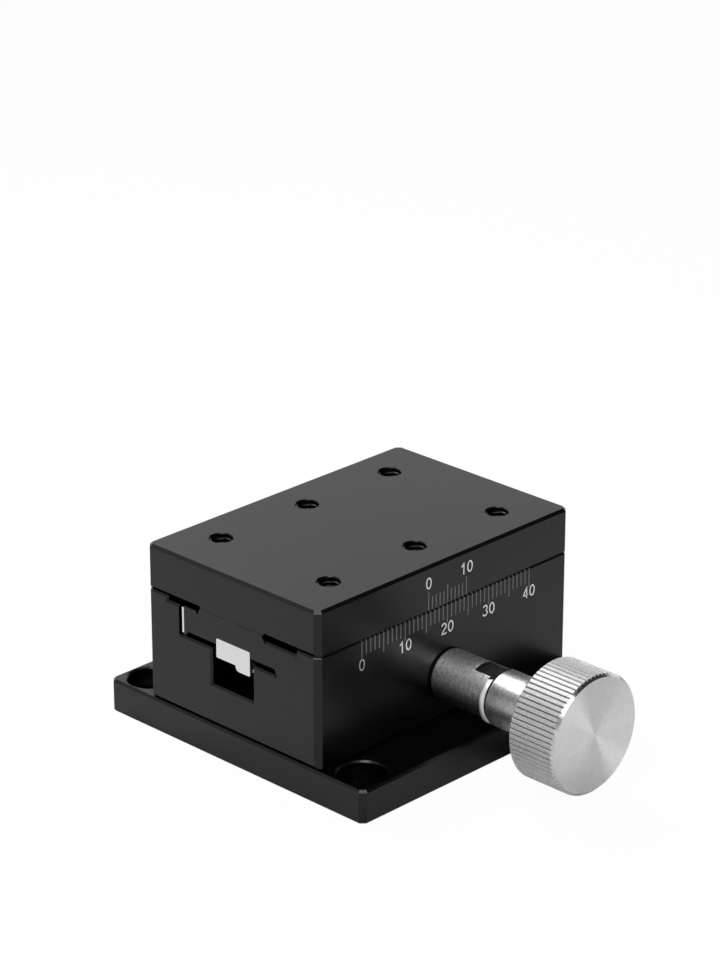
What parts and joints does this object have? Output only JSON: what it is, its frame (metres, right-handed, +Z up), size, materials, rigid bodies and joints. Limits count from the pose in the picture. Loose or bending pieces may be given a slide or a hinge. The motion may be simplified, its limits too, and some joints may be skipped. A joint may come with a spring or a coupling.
{
  "type": "dovetail slide",
  "caption": "Hand-driven dovetail slide: a flanged base with a guide block, a tapped table that travels on a dovetail, and a ribbed knob that drives it by rack and pinion.",
  "frame": {"origin": "centre of the base plate's underside, which is the centre of its four mounting holes", "axes": "+X across the slide towards the knob, +Y along the travel, +Z up from the base plate to the table"},
  "size_m": [0.0822, 0.06, 0.034],
  "materials": {
    "black_anodised": "satin black anodised",
    "black_steel": "black oxide",
    "bright_steel": "ground",
    "plated_steel": "turned, satin nickel plated",
    "clear_anodised": "turned and ribbed, clear anodised",
    "brass": "turned"
  },
  "bodies": {
    "base": {"base_plate": "black_anodised", "base_screws": "black_steel", "guide_block": "black_anodised", "stop_pin": "bright_steel", "gib": "black_anodised", "gib_strip": "bright_steel", "gib_screws": "black_steel", "pinion_sleeve": "plated_steel", "sleeve_screw": "black_steel", "disc_spring": "bright_steel", "thrust_washer": "bright_steel"},
    "table": {"slide_table": "black_anodised", "rack": "bright_steel", "rack_screws": "black_steel"},
    "knob": {"knob": "clear_anodised", "knob_screw": "black_steel", "pinion": "bright_steel", "pinion_shaft": "bright_steel"},
    "lock_pad": {"lock_pad": "brass"},
    "lock_screw": {"lock_screw": "plated_steel"}
  },
  "joints": [
    {"name": "table_slide", "type": "slide", "parent": "base", "child": "table", "axis": [0, 1, 0], "range_m": [-0.02, 0.02]},
    {"name": "knob_turn", "type": "hinge", "parent": "base", "child": "knob", "pos_m": [0.02, 0, 0.01325], "axis": [1, 0, 0], "range_deg": [-230, 230]},
    {"name": "lock_advance", "type": "slide", "parent": "base", "child": "lock_pad", "axis": [-1, 0, 0], "range_m": [0, 0.0007]},
    {"name": "lock_turn", "type": "hinge", "parent": "lock_pad", "child": "lock_screw", "pos_m": [-0.02, 0, 0.02288], "axis": [-1, 0, 0], "range_deg": [0, 360]}
  ],
  "couplings": [
    {"joint": "knob_turn", "follows": "table_slide", "rad_per_m": -200},
    {"joint": "lock_turn", "follows": "lock_advance", "rad_per_m": 8975.9}
  ]
}
